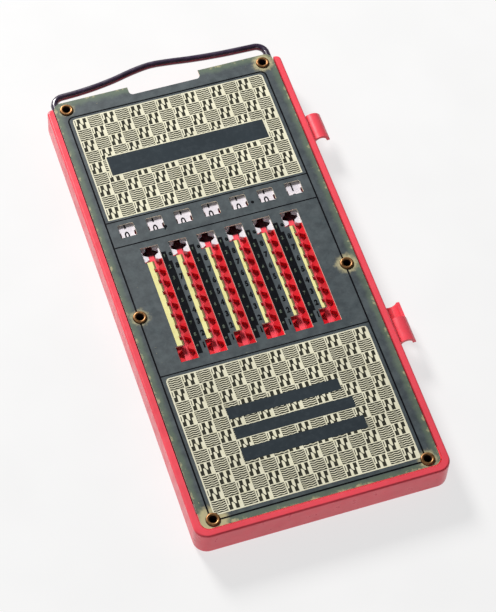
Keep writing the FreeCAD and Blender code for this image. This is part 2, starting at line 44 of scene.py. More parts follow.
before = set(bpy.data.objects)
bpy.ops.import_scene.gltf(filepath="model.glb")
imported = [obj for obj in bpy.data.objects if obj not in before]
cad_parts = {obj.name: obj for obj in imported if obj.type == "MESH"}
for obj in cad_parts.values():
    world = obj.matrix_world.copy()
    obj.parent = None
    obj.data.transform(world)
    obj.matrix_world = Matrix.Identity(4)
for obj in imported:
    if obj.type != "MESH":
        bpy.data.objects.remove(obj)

MM = 0.001
COLUMNS = ["millions", "hundred_thousands", "ten_thousands", "thousands", "hundreds", "tens", "units"]
TRAY = "tray"
_, PLATE_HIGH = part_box("front_plate")
FACE = PLATE_HIGH[2]
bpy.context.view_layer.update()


def srgb(red, green, blue):
    """A colour read off in 0 to 255 as the linear values that shaders take."""
    out = []
    for part in (red, green, blue):
        share = part / 255
        out.append(share / 12.92 if share <= 0.04045 else ((share + 0.055) / 1.055) ** 2.4)
    return tuple(out)


def column_centre(name):
    """Place of a column's slider, along X."""
    low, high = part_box("slider_" + name)
    return (low[0] + high[0]) / 2


def eyelet_place(name):
    """Place of an eyelet's centre, along X and Y."""
    low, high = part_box(name)
    return ((low[0] + high[0]) / 2, (low[1] + high[1]) / 2)


COLUMN_X = [column_centre(name) for name in COLUMNS]
PRINT_X = COLUMN_X[3]

# Painted shade on the tray in the slots' upper hooks, where the plate shades the bays below it:
# between two places along Y, out to the sides, and from this far below the plate's face down
SHADE_FOOT = 14.9 * MM
SHADE_TOP = 21 * MM
SHADE_SIDE = 32.5 * MM
SHADE_DEPTH = 0.5 * MM
SHADE_COLOUR = srgb(66, 14, 24)
SOFT_EDGE = 0.1 * MM

# Widths of the greener rim along the plate's sides and ends
RIM_SIDE = 3.6 * MM
RIM_END = 4.5 * MM

# How ragged the wear's outline is at most, and how far the print is worn round each eyelet, in
# millimetres
WEAR_RAGGED = 3.4 * MM
WEAR = {"eyelet_upper_left": 2.3, "eyelet_upper_right": 3.3, "eyelet_middle_left": 2.7,
        "eyelet_middle_right": 3.3, "eyelet_lower_left": 4.6, "eyelet_lower_right": 2.9}

# Radii of a dressed eyelet's barrel and throat, the height of its roll, and the heights over the
# plate's face where painted shade and dirt in the throat start and where they are thick
EYELET_BARREL = 1.2 * MM
EYELET_THROAT = 1.06 * MM
EYELET_ROLL = 0.45 * MM
SHADE_AND_DIRT_START = 0.34 * MM
SHADE_AND_DIRT_THICK = 0.1 * MM

# The bail's coating over the frame's bare wire, the radius of its bends, and how far below the
# plate's upper edge its legs are straight
COATING = 0.12 * MM
BEND = 3.2 * MM
STRAIGHT = 6 * MM

# The bail's arch: X, and height over the plate's upper edge, in millimetres
ARCH = ((-31.0, 3.3), (-26.0, 3.5), (-20.0, 4.1), (-14.0, 5.1), (-8.0, 6.5), (-2.0, 7.35), (4.0, 6.9),
        (10.0, 6.1), (16.0, 5.5), (22.0, 5.1), (28.0, 4.9), (31.0, 4.8))

SLOT_X = [(COLUMN_X[i] + COLUMN_X[i + 1]) / 2 for i in range(len(COLUMNS) - 1)]


def colour(name, text, value):
    """A colour in a property group."""
    return FloatVectorProperty(name=name, description=text, subtype="COLOR", size=3, min=0, max=1,
                               default=value)


def length(name, text, value):
    """A length in a property group, given in millimetres."""
    return FloatProperty(name=name, description=text, subtype="DISTANCE", unit="LENGTH",
                         default=value * MM)


class AdderFinish(PropertyGroup):
    """Colours of the adder's materials."""

    coral: colour("Coral plastic", "Moulded tray", srgb(240, 80, 94))
    plate: colour("Plate", "Printed grey-green of the front plate", srgb(74, 84, 88))
    plate_dark: colour("Plate, darker", "Darker mottling of the front plate", srgb(54, 63, 68))
    rim_green: colour("Rim green", "Print towards the plate's edges", srgb(92, 108, 90))
    metal: colour("Bare metal", "Tin plate where the print is worn away", srgb(212, 200, 150))
    cut: colour("Cut edge", "Bright cut edges of the plate", srgb(255, 246, 226))
    cream: colour("Cream print", "Lines of the pattern", srgb(232, 229, 204))
    ground: colour("Pattern ground", "Dark ground behind the pattern", srgb(50, 50, 42))
    ink: colour("Black print", "Border lines, bands and numbers", srgb(6, 8, 14))
    margin: colour("Yellow margin", "Bare strip beside each slot", srgb(238, 233, 164))
    # Painted shade along the edge of each bare strip, where the plate's edge casts its shadow
    margin_edge: colour("Margin edge", "Browner edge of the bare strip", srgb(128, 112, 72))
    gold: colour("Gold print", "Numbers on the black bands", srgb(84, 94, 82))
    red: colour("Slider red", "Lower part of a slider", srgb(214, 10, 30))
    white: colour("Slider white", "Upper part of a slider", srgb(228, 222, 229))
    wire: colour("Wire coating", "Coating of the bail", srgb(52, 40, 62))
    brass: colour("Brass", "Eyelets", srgb(158, 116, 74))
    steel: colour("Steel", "Clearing bar", srgb(170, 170, 172))


class AdderPrint(PropertyGroup):
    """Sizes of the printing on the plate and on the sliders."""

    half_width: length("Panel half width", "Half the width of both pattern panels", 30.1)
    upper_top: length("Upper panel top", "Upper edge of the upper panel", 67.8)
    upper_foot: length("Upper panel foot", "Lower edge of the upper panel", 29.7)
    lower_top: length("Lower panel top", "Upper edge of the lower panel", -26.8)
    lower_foot: length("Lower panel foot", "Lower edge of the lower panel", -71.4)
    border_half: length("Border half width", "Centre of the border line from the print's middle", 31.5)
    border_top: length("Border top", "Upper stretch of the border line", 68.9)
    border_foot: length("Border foot", "Lower stretch of the border line", -73.0)
    line: length("Border line", "Width of the border line", 0.5)
    cross_line: length("Cross line", "Width of the lines across the plate", 0.36)
    tooth_pitch: length("Tooth pitch", "Distance between neighbouring digits", 4.0)
    zero_place: length("Zero", "Centre of a slider's zero, along Y", 23.4)
    units_drop: length("Units drop", "How much lower the units slider is printed", 1.6)
    red_top: length("Red part", "Upper end of a slider's red part, along Y", 13.1)
    nine_place: length("Nine", "Centre of the highest slot number, along Y", 13.0)
    columns: IntProperty(name="Pattern columns", description="Tiles across a panel", default=14)
    upper_rows: IntProperty(name="Upper rows", description="Tiles down the upper panel", default=9)
    lower_rows: IntProperty(name="Lower rows", description="Tiles down the lower panel", default=11)


# Shader helpers


class Finish:
    """A material with one Principled shader and short calls for the nodes before it."""

    def __init__(self, name, roughness, metallic=0.0, specular=0.5, coat=0.0, coat_roughness=0.1):
        self.material = bpy.data.materials.new(name)
        self.material.use_nodes = True
        self.tree = self.material.node_tree
        self.shader = self.tree.nodes["Principled BSDF"]
        self.set(self.shader, Roughness=roughness, Metallic=metallic)
        self.set(self.shader, **{"Specular IOR Level": specular, "Coat Weight": coat})
        self.set(self.shader, **{"Coat Roughness": coat_roughness})
        self.place = self.tree.nodes.new("ShaderNodeTexCoord").outputs["Object"]

    def set(self, node, **values):
        for name, value in values.items():
            node.inputs[name].default_value = value

    def join(self, source, node, name):
        self.tree.links.new(source, node.inputs[name])

    def paint(self, source):
        self.join(source, self.shader, "Base Color")

    def rough(self, source):
        self.join(source, self.shader, "Roughness")

    def metal(self, source):
        self.join(source, self.shader, "Metallic")

    def noise(self, scale, detail=3.0, roughness=0.55, distortion=0.0, stretch=None):
        """Noise on the object's own coordinates, at so many features a metre."""
        node = self.tree.nodes.new("ShaderNodeTexNoise")
        self.set(node, Scale=scale, Detail=detail, Roughness=roughness, Distortion=distortion)
        place = self.place
        if stretch:
            mapping = self.tree.nodes.new("ShaderNodeMapping")
            mapping.inputs["Scale"].default_value = stretch[0]
            mapping.inputs["Rotation"].default_value = (0, 0, math.radians(stretch[1]))
            self.tree.links.new(place, mapping.inputs["Vector"])
            place = mapping.outputs["Vector"]
        self.tree.links.new(place, node.inputs["Vector"])
        return node.outputs["Fac"]

    def ramp(self, source, low, high, start=0.0, end=1.0):
        """Take a value from one range to another, held at both ends."""
        node = self.tree.nodes.new("ShaderNodeMapRange")
        node.interpolation_type = "SMOOTHSTEP"
        self.set(node, **{"From Min": low, "From Max": high, "To Min": start, "To Max": end})
        self.tree.links.new(source, node.inputs["Value"])
        return node.outputs["Result"]

    def mix(self, share, first, second):
        node = self.tree.nodes.new("ShaderNodeMix")
        node.data_type = "RGBA"
        self.tree.links.new(share, node.inputs["Factor"])
        for name, value in (("A", first), ("B", second)):
            socket = [one for one in node.inputs if one.name == name and one.type == "RGBA"][0]
            if isinstance(value, tuple):
                socket.default_value = (*value, 1)
            else:
                self.tree.links.new(value, socket)
        return [one for one in node.outputs if one.type == "RGBA"][0]

    def maths(self, operation, first, second=0.0):
        node = self.tree.nodes.new("ShaderNodeMath")
        node.operation = operation
        for index, value in enumerate((first, second)):
            if isinstance(value, (int, float)):
                node.inputs[index].default_value = value
            else:
                self.tree.links.new(value, node.inputs[index])
        return node.outputs["Value"]

    def distance(self, x, y, z):
        """How far the shaded point is from a place."""
        node = self.tree.nodes.new("ShaderNodeVectorMath")
        node.operation = "DISTANCE"
        self.tree.links.new(self.place, node.inputs[0])
        node.inputs[1].default_value = (x, y, z)
        return node.outputs["Value"]

    def axes(self, source):
        node = self.tree.nodes.new("ShaderNodeSeparateXYZ")
        self.tree.links.new(source, node.inputs["Vector"])
        return node.outputs["X"], node.outputs["Y"], node.outputs["Z"]

    def normal(self):
        return self.tree.nodes.new("ShaderNodeNewGeometry").outputs["Normal"]

    def bump(self, height, strength, distance):
        node = self.tree.nodes.new("ShaderNodeBump")
        self.set(node, Strength=strength, Distance=distance)
        self.tree.links.new(height, node.inputs["Height"])
        self.join(node.outputs["Normal"], self.shader, "Normal")


def tone(value, factor):
    """A colour made darker or lighter."""
    return tuple(min(1.0, part * factor) for part in value)


def coral_plastic(looks):
    """Coral plastic with fine specks, and painted shade under the slots' upper hooks."""
    finish = Finish("coral_plastic", 0.34, specular=0.35, coat=0.08, coat_roughness=0.22)
    base = tuple(looks.coral)
    cloud = finish.ramp(finish.noise(60, 3), 0.3, 0.7)
    body = finish.mix(cloud, tone(base, 0.93), tone(base, 1.06))
    specks = finish.ramp(finish.noise(900, 2), 0.68, 0.76, 0.0, 0.6)
    body = finish.mix(specks, body, tone(base, 0.78))
    # Painted shade: the tray is darkened in the bays under the slots' upper hooks
    across, along, height = finish.axes(finish.place)
    level = FACE - SHADE_DEPTH
    below = finish.ramp(height, level, level - SOFT_EDGE)
    inside = finish.ramp(finish.maths("ABSOLUTE", across), SHADE_SIDE, SHADE_SIDE - SOFT_EDGE)
    inside = finish.maths("MULTIPLY", inside, finish.ramp(along, SHADE_TOP, SHADE_TOP - SOFT_EDGE))
    painted_shade = finish.ramp(along, SHADE_FOOT, SHADE_FOOT + 4 * SOFT_EDGE)
    painted_shade = finish.maths("MULTIPLY", finish.maths("MULTIPLY", below, inside), painted_shade)
    finish.paint(finish.mix(painted_shade, body, SHADE_COLOUR))
    finish.rough(finish.ramp(finish.noise(300, 4), 0.3, 0.75, 0.27, 0.42))
    finish.shader.inputs["Subsurface Weight"].default_value = 0.08
    finish.shader.inputs["Subsurface Radius"].default_value = (0.004, 0.001, 0.001)
    finish.bump(finish.noise(1500, 3), 0.12, 0.00005)
    return finish.material


def printed_plate(looks):
    """Grey-green print on tin.

    It is mottled, greener at the rim, worn round the eyelets and bright where it is cut.
    """
    finish = Finish("printed_tin", 0.5, specular=0.4)
    metal = tuple(looks.metal)
    mottle = finish.ramp(finish.noise(330, 6, 0.7), 0.32, 0.7)
    print_colour = finish.mix(mottle, tuple(looks.plate_dark), tuple(looks.plate))
    x, y, _ = finish.axes(finish.place)
    across = finish.maths("ABSOLUTE", x)
    along = finish.maths("ABSOLUTE", y)
    side = finish.ramp(across, PLATE_HIGH[0] - RIM_SIDE, PLATE_HIGH[0])
    end = finish.ramp(along, PLATE_HIGH[1] - RIM_END, PLATE_HIGH[1])
    margin = finish.maths("MAXIMUM", side, end)
    ragged = finish.maths("ADD", margin, finish.noise(380, 5, 0.7))
    green = finish.ramp(ragged, 0.75, 1.5, 0.0, 0.85)
    print_colour = finish.mix(green, print_colour, tuple(looks.rim_green))
    worn = finish.ramp(ragged, 1.46, 1.66, 0.0, 0.55)
    bite = finish.maths("MULTIPLY", finish.noise(900, 4, 0.7), WEAR_RAGGED)
    for name, reach in WEAR.items():
        far = finish.distance(*eyelet_place(name), FACE)
        spot = finish.ramp(finish.maths("ADD", far, bite), (reach + 2.4) * MM, (reach + 0.2) * MM)
        worn = finish.maths("MAXIMUM", worn, finish.maths("MULTIPLY", spot, 0.7))
    scratch = finish.noise(300, 2, 0.5, stretch=((1.0, 16.0, 1.0), 38))
    scratch = finish.ramp(scratch, 0.76, 0.78, 0.0, 0.6)
    chips = finish.ramp(finish.noise(640, 3, 0.6), 0.74, 0.77, 0.0, 0.75)
    worn = finish.maths("MAXIMUM", worn, finish.maths("MAXIMUM", scratch, chips))
    _, _, up = finish.axes(finish.normal())
    cut = finish.ramp(up, 0.85, 0.6)
    surface = finish.mix(worn, print_colour, metal)
    finish.paint(finish.mix(cut, surface, tuple(looks.cut)))
    finish.rough(finish.ramp(finish.noise(240, 4), 0.3, 0.7, 0.42, 0.58))
    finish.bump(finish.noise(700, 4), 0.1, 0.00004)
    return finish.material


def print_ink(name, value, fade, thin_share=0.35):
    """A printed film of one ink, a little thin in places."""
    roughness = 0.55
    finish = Finish(name, roughness, specular=0.06)
    base = tuple(value)
    thin = finish.ramp(finish.noise(650, 4, 0.6), 0.45, 0.72, 0.0, thin_share)
    cloud = finish.ramp(finish.noise(80, 2), 0.3, 0.7)
    body = finish.mix(cloud, tone(base, 0.92), tone(base, 1.05))
    finish.paint(finish.mix(thin, body, fade))
    finish.rough(finish.ramp(finish.noise(300, 3), 0.3, 0.7, roughness - 0.08, roughness + 0.1))
    return finish.material


def slider_strip(looks, sizes):
    """White above, red below, with a soft moulded gloss."""
    finish = Finish("slider_plastic", 0.34, coat=0.3, coat_roughness=0.15)
    red = tuple(looks.red)
    white = tuple(looks.white)
    _, y, _ = finish.axes(finish.place)
    wander = finish.maths("MULTIPLY", finish.noise(500, 2), 0.0006)
    border = finish.ramp(finish.maths("ADD", y, wander), sizes.red_top, sizes.red_top + 0.0004)
    reds = finish.mix(finish.ramp(finish.noise(260, 3), 0.3, 0.7), tone(red, 0.8), tone(red, 1.1))
    whites = finish.mix(finish.ramp(finish.noise(180, 3), 0.35, 0.75), white, tone(white, 0.9))
    finish.paint(finish.mix(border, reds, whites))
    finish.rough(finish.ramp(finish.noise(350, 3), 0.3, 0.7, 0.26, 0.42))
    finish.bump(finish.noise(900, 3), 0.15, 0.00005)
    return finish.material


def coated_wire(looks):
    """Dark glossy coating, cloudy and a little rough."""
    finish = Finish("coated_wire", 0.3, coat=0.5, coat_roughness=0.15)
    base = tuple(looks.wire)
    cloud = finish.ramp(finish.noise(220, 4), 0.3, 0.72)
    finish.paint(finish.mix(cloud, tone(base, 0.75), tone(base, 1.25)))
    finish.rough(finish.ramp(finish.noise(400, 3), 0.3, 0.7, 0.22, 0.4))
    finish.bump(finish.noise(500, 4), 0.25, 0.00006)
    return finish.material


def aged_metal(name, value, roughness, stain):
    """Bare metal with spots of a stain."""
    finish = Finish(name, roughness, metallic=0.85)
    base = tuple(value)
    spots = finish.ramp(finish.noise(800, 4, 0.65), 0.4, 0.7)
    finish.paint(finish.mix(spots, base, stain))
    finish.rough(finish.ramp(finish.noise(600, 3), 0.3, 0.7, roughness - 0.08, roughness + 0.15))
    finish.bump(finish.noise(1200, 3), 0.2, 0.00004)
    return finish.material


def eyelet_brass(looks):
    """Tarnished brass, black down the throat with painted shade and some dirt."""
    finish = Finish("eyelet_brass", 0.36, metallic=0.7, specular=0.2)
    base = tuple(looks.brass)
    spots = finish.ramp(finish.noise(900, 4, 0.65), 0.35, 0.7)
    metal = finish.mix(spots, base, srgb(116, 80, 50))
    _, _, height = finish.axes(finish.place)
    # Painted shade with some dirt: the throat turns black below the roll
    shade_and_dirt = finish.ramp(height, FACE + SHADE_AND_DIRT_START, FACE + SHADE_AND_DIRT_THICK)
    finish.paint(finish.mix(shade_and_dirt, metal, srgb(38, 16, 20)))
    finish.metal(finish.ramp(height, FACE + SHADE_AND_DIRT_THICK, FACE + SHADE_AND_DIRT_START, 0.0, 0.7))
    rough = finish.ramp(finish.noise(600, 3), 0.3, 0.7, 0.28, 0.5)
    finish.rough(finish.maths("MAXIMUM", rough, finish.maths("MULTIPLY", shade_and_dirt, 0.95)))
    finish.bump(finish.noise(1200, 3), 0.2, 0.00004)
    return finish.material


def dress(name, material):
    """Give a CAD node its finish. Its shape stays as it is."""
    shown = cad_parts[name]
    for piece in shown if isinstance(shown, (list, tuple)) else [shown]:
        piece.data.materials.clear()
        piece.data.materials.append(material)


# Mesh helpers


def to_piece(name, mesh, material, body, film=0.0):
    """Turn a bmesh into a piece that rides on a body, as a thin film where a thickness is given."""
    mesh.normal_update()
    data = bpy.data.meshes.new(name)
    mesh.to_mesh(data)
    mesh.free()
    data.materials.append(material)
    piece = bpy.data.objects.new(name, data)
    bpy.context.scene.collection.objects.link(piece)
    if film:
        skin = piece.modifiers.new("film", "SOLIDIFY")
        skin.thickness = film
        skin.offset = -1
    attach(piece, body)
    return piece


def patch(mesh, x0, x1, y0, y1, z, steps=1):
    """A flat rectangle that faces up."""
    centre = Vector(((x0 + x1) / 2, (y0 + y1) / 2, z))
    scale = Matrix.Diagonal((abs(x1 - x0) / 2, abs(y1 - y0) / 2, 1, 1))
    place = Matrix.Translation(centre) @ scale
    return bmesh.ops.create_grid(mesh, x_segments=steps, y_segments=1, size=1, matrix=place)["verts"]


def stretch_between(mesh, start, end, width, z):
    """A flat strip from one point to another."""
    way = Vector(end) - Vector(start)
    turn = Matrix.Rotation(math.atan2(way.y, way.x), 4, "Z")
    middle = (Vector(start) + Vector(end)) / 2
    scale = Matrix.Diagonal((way.length / 2, width / 2, 1, 1))
    place = Matrix.Translation((middle.x, middle.y, z)) @ turn @ scale
    bmesh.ops.create_grid(mesh, x_segments=1, y_segments=1, size=1, matrix=place)


def top_line(mesh, x0, x1, y1, radius, width, z):
    """The top of a frame line, with its round corners."""
    half = width / 2
    patch(mesh, x0 + radius, x1 - radius, y1 - half, y1 + half, z)
    for x, start in ((x1 - radius, 0), (x0 + radius, 90)):
        centre = Vector((x, y1 - radius, z))
        near = mesh.verts.new(centre + Vector((radius - half, 0, 0)))
        far = mesh.verts.new(centre + Vector((radius + half, 0, 0)))
        edge = mesh.edges.new((near, far))
        turn = Matrix.Rotation(math.radians(start), 3, "Z")
        bmesh.ops.rotate(mesh, verts=[near, far], cent=centre, matrix=turn)
        bmesh.ops.spin(mesh, geom=[near, far, edge], cent=centre, axis=(0, 0, 1),
                       angle=math.radians(90), steps=8, use_duplicate=False)


def ring_line(mesh, x0, x1, y0, y1, radius, width, z):
    """A closed line round a rectangle, with round upper corners."""
    half = width / 2
    patch(mesh, x0 - half, x0 + half, y0 + half, y1 - radius, z)
    patch(mesh, x1 - half, x1 + half, y0 + half, y1 - radius, z)
    patch(mesh, x0 - half, x1 + half, y0 - half, y0 + half, z)
    top_line(mesh, x0, x1, y1, radius, width, z)


def face_up(mesh):
    """Turn every face of a flat film upwards."""
    mesh.normal_update()
    down = [face for face in mesh.faces if face.normal.z < 0]
    bmesh.ops.reverse_faces(mesh, faces=down)


class Digits:
    """Number shapes as flat meshes, each made once and then copied into place."""

    def __init__(self, weight):
        self.weight = weight
        self.shapes = {}

    def shape(self, text):
        if text not in self.shapes:
            curve = bpy.data.curves.new("digit_" + text, "FONT")
            curve.body = text
            curve.align_x = "CENTER"
            curve.align_y = "CENTER"
            curve.offset = self.weight
            curve.resolution_u = 3
            holder = bpy.data.objects.new("digit_" + text, curve)
            self.shapes[text] = bpy.data.meshes.new_from_object(holder)
            bpy.data.objects.remove(holder)
            bpy.data.curves.remove(curve)
        return self.shapes[text]

    def stamp(self, mesh, text, x, y, z, height, narrow=0.8):
        data = self.shape(text)
        top = max(vert.co.y for vert in data.vertices)
        foot = min(vert.co.y for vert in data.vertices)
        middle = (top + foot) / 2
        scale = height / (top - foot)
        first = len(mesh.verts)
        mesh.from_mesh(data)
        mesh.verts.ensure_lookup_table()
        place = (Matrix.Translation((x, y, z)) @ Matrix.Diagonal((scale * narrow, scale, 1, 1))
                 @ Matrix.Translation((0, -middle, 0)))
        bmesh.ops.transform(mesh, matrix=place, verts=mesh.verts[first:])


# Thickness of a printed film, the rise from one layer to the next, and a hair that keeps faces in
# one layer apart
FILM = 0.01 * MM
LAYER = 0.012 * MM
HAIR = 0.001 * MM


def film_height(step):
    """Height of a printed layer, from the border and the panels' grounds up."""
    return FACE + LAYER * step


# The meander, in shares of a tile: left, right, foot and top of each dark block, both ends of each
# thin link, and the links' width
MEANDER_BLOCKS = ((0.21, 0.45, 0.58, 0.96), (0.2, 0.31, 0.4, 0.6), (0.06, 0.31, 0.05, 0.42),
                  (0.65, 0.89, 0.58, 0.96), (0.64, 0.75, 0.4, 0.6), (0.5, 0.75, 0.05, 0.42))
MEANDER_LINKS = ((0.07, 0.5, 0.085, 0.9), (0.42, 0.6, 0.54, 0.4))
LINK_WIDTH = 0.055

# Wavy lines: how many on a tile, their half waves and steps, and their inset, thickness and swing in
# shares of the tile
WAVE_LINES = 5
WAVE_HALVES = 5
WAVE_STEPS = 14
WAVE_INSET = 0.05
WAVE_THICK = 0.065
WAVE_SWING = 0.025

# Widths of the lines between tiles and round a panel, and the radius of a panel's upper corners
TILE_LINE = 0.26 * MM
PANEL_LINE = 0.4 * MM
PANEL_ROUND = 1.0 * MM


def meander(light, dark, x, y, wide, tall, z):
    """Two turns of a stepped meander, dark on a pale tile."""
    patch(light, x, x + wide, y, y + tall, z)
    above = z + LAYER
    for left, right, low, high in MEANDER_BLOCKS:
        patch(dark, x + left * wide, x + right * wide, y + low * tall, y + high * tall, above)
    for left, low, right, high in MEANDER_LINKS:
        start = (x + left * wide, y + low * tall, 0)
        end = (x + right * wide, y + high * tall, 0)
        stretch_between(dark, start, end, LINK_WIDTH * wide, above + HAIR)


def waves(light, x, y, wide, tall, z):
    """Fine wavy pale lines across a dark tile."""
    left = x + WAVE_INSET * wide
    right = x + (1 - WAVE_INSET) * wide
    half = WAVE_THICK * tall / 2
    for index in range(WAVE_LINES):
        level = y + (index + 1) * tall / (WAVE_LINES + 1)
        for vert in patch(light, left, right, level - half, level + half, z, WAVE_STEPS):
            turn = (vert.co.x - x) / wide * WAVE_HALVES * math.pi
            vert.co.y += WAVE_SWING * tall * math.sin(turn)


def tile_panel(mesh, dark, x0, x1, y0, y1, columns, rows, first, z):
    """Tiles in two kinds, turn about, with a pale line round each."""
    wide = (x1 - x0) / columns
    tall = (y1 - y0) / rows
    for row in range(rows):
        for column in range(columns):
            x = x0 + column * wide
            y = y1 - (row + 1) * tall
            if (row + column + first) % 2 == 0:
                meander(mesh, dark, x, y, wide, tall, z)
            else:
                waves(mesh, x, y, wide, tall, z)
    half = TILE_LINE / 2
    for column in range(1, columns):
        x = x0 + column * wide
        patch(mesh, x - half, x + half, y0, y1, z + 2 * HAIR)
    for row in range(1, rows):
        y = y0 + row * tall
        patch(mesh, x0, x1, y - half, y + half, z + 3 * HAIR)
    ring_line(mesh, x0, x1, y0, y1, PANEL_ROUND, PANEL_LINE, z + 4 * HAIR)


# Left, right, foot and top of the bare dark boxes in the panels, and the upper one's line
TITLE_BOX = (PRINT_X - 24.6 * MM, PRINT_X + 25.1 * MM, 44.5 * MM, 51.8 * MM)
TITLE_LINE = 0.35 * MM
TITLE_ROUND = 0.3 * MM
WORD_BOXES = (
    (-17.4 * MM, 16.0 * MM, -44.4 * MM, -40.7 * MM),
    (-17.4 * MM, 18.0 * MM, -51.0 * MM, -47.3 * MM),
    (-17.4 * MM, 19.0 * MM, -58.2 * MM, -54.0 * MM),
)

# The border line: radius of its upper corners, and how far it stops from an eyelet's centre
BORDER_ROUND = 1.7 * MM
BORDER_GAP = 1.6 * MM

# Places of the lines across the plate, along Y
CROSS_LINES = (28.7 * MM, 19.7 * MM, -25.6 * MM)

# Place and radius of the marks between the windows, and both ends and the width of one mark's tail
MARKS = ((12.0 * MM, 23.6 * MM, 0.5 * MM), (-15.3 * MM, 22.9 * MM, 0.55 * MM))
MARK_TAIL = ((-15.2 * MM, 22.7 * MM, 0), (-15.7 * MM, 21.9 * MM, 0))
TAIL_WIDTH = 0.35 * MM

# The bare margins left of the slots: widths, how far their sides stand from the slot's line besides,
# both ends, depth of a bite and width of the painted shade along the edge
MARGIN_WIDTHS = (2.0 * MM, 1.75 * MM, 1.5 * MM, 1.4 * MM, 1.3 * MM, 1.35 * MM)
MARGIN_LEFT = 0.1 * MM
MARGIN_RIGHT = 0.06 * MM
MARGIN_TOP = 12.2 * MM
MARGIN_FOOT = -17.3 * MM
MARGIN_BITE = 0.72 * MM
MARGIN_SHADE = 0.5 * MM

# The plate's scallops beside a slot: how many, the highest one's place along Y, their pitch, and half
# the width of one
SCALLOPS = 7
SCALLOP_PLACE = 9.0 * MM
SCALLOP_PITCH = 4.0 * MM
SCALLOP_HALF = 0.75 * MM

# The sliders' digits: height, width against the font's, and place beside a slider's middle
DIGIT_TALL = 3.1 * MM
DIGIT_NARROW = 0.76
DIGIT_SHIFT = -0.3 * MM

# The plate's numbers: heights, and places beside a slot. The first and the last stand elsewhere
BLACK_TALL = 2.0 * MM
GOLD_TALL = 1.35 * MM
BLACK_SHIFT = -2.5 * MM
BLACK_END_SHIFT = -3.3 * MM
GOLD_SHIFT = 3.95 * MM
GOLD_END_SHIFT = 3.5 * MM

# The black bands right of the slots: their left side, then width, foot and top of each stretch
BAND_SHIFT = 2.78 * MM
BANDS = (
    (1.5 * MM, 11.0 * MM, 14.6 * MM),
    (2.35 * MM, -17.4 * MM, 11.0 * MM),
    (1.5 * MM, -21.4 * MM, -17.4 * MM),
)


# Operators


class ADDER_OT_tray(Operator):
    """Give the moulded tray its coral plastic"""

    bl_idname = "adder.tray"
    bl_label = "Tray"

    def execute(self, context):
        dress("body_shell", coral_plastic(context.scene.adder_finish))
        return {"FINISHED"}


class ADDER_OT_plate(Operator):
    """Give the front plate its worn grey-green print"""

    bl_idname = "adder.plate"
    bl_label = "Front plate"

    def execute(self, context):
        dress("front_plate", printed_plate(context.scene.adder_finish))
        return {"FINISHED"}


class ADDER_OT_sliders(Operator):
    """Give the sliders their red and white and print their digits"""

    bl_idname = "adder.sliders"
    bl_label = "Sliders"

    def execute(self, context):
        looks = context.scene.adder_finish
        sizes = context.scene.adder_print
        strip = slider_strip(looks, sizes)
        ink = print_ink("slider_digits", looks.ink, srgb(40, 38, 46))
        digits = Digits(weight=0.02)
        for name in COLUMNS:
            node = "slider_" + name
            dress(node, strip)
            _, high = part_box(node)
            zero = sizes.zero_place - (sizes.units_drop if name == "units" else 0)
            mesh = bmesh.new()
            x = column_centre(name) + DIGIT_SHIFT
            for digit in range(10):
                y = zero + digit * sizes.tooth_pitch
                digits.stamp(mesh, str(digit), x, y, high[2] + FILM, DIGIT_TALL, DIGIT_NARROW)
            face_up(mesh)
            piece = to_piece(node + "_digits", mesh, ink, node, FILM)
        return {"FINISHED"}


class ADDER_OT_eyelets(Operator):
    """Make the eyelets with rolled brass flanges and open throats"""

    bl_idname = "adder.eyelets"
    bl_label = "Eyelets"

    def execute(self, context):
        looks = context.scene.adder_finish
        brass = eyelet_brass(looks)
        for name in WEAR:
            low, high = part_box(name)
            mesh = bmesh.new()
            centre = Vector((*eyelet_place(name), 0))
            self.turn(mesh, centre, self.outline((high[0] - low[0]) / 2, low[2], high[2]))
            piece = to_piece(name + "_rolled", mesh, brass, TRAY)
            piece.data.shade_smooth()
            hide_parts(name)
        return {"FINISHED"}

    def outline(self, rim, foot, top):
        """Points from the barrel's foot up the outside, over the roll and down the throat."""
        crest = top - EYELET_ROLL
        half = (rim - EYELET_THROAT) / 2
        points = [(EYELET_THROAT, foot), (EYELET_BARREL, foot), (EYELET_BARREL, crest), (rim, crest)]
        for step in range(1, 9):
            turn = math.radians(22.5 * step)
            radius = EYELET_THROAT + half + half * math.cos(turn)
            points.append((radius, crest + EYELET_ROLL * math.sin(turn)))
        return points

    def turn(self, mesh, centre, points):
        """Turn the closed outline about the upright line through the centre."""
        verts = [mesh.verts.new(centre + Vector((radius, 0, height))) for radius, height in points]
        edges = [mesh.edges.new((verts[i], verts[(i + 1) % len(verts)])) for i in range(len(verts))]
        bmesh.ops.spin(mesh, geom=verts + edges, cent=centre, axis=(0, 0, 1), angle=2 * math.pi,
                       steps=40, use_duplicate=False)
        bmesh.ops.remove_doubles(mesh, verts=mesh.verts, dist=1e-7)
        bmesh.ops.recalc_face_normals(mesh, faces=mesh.faces)


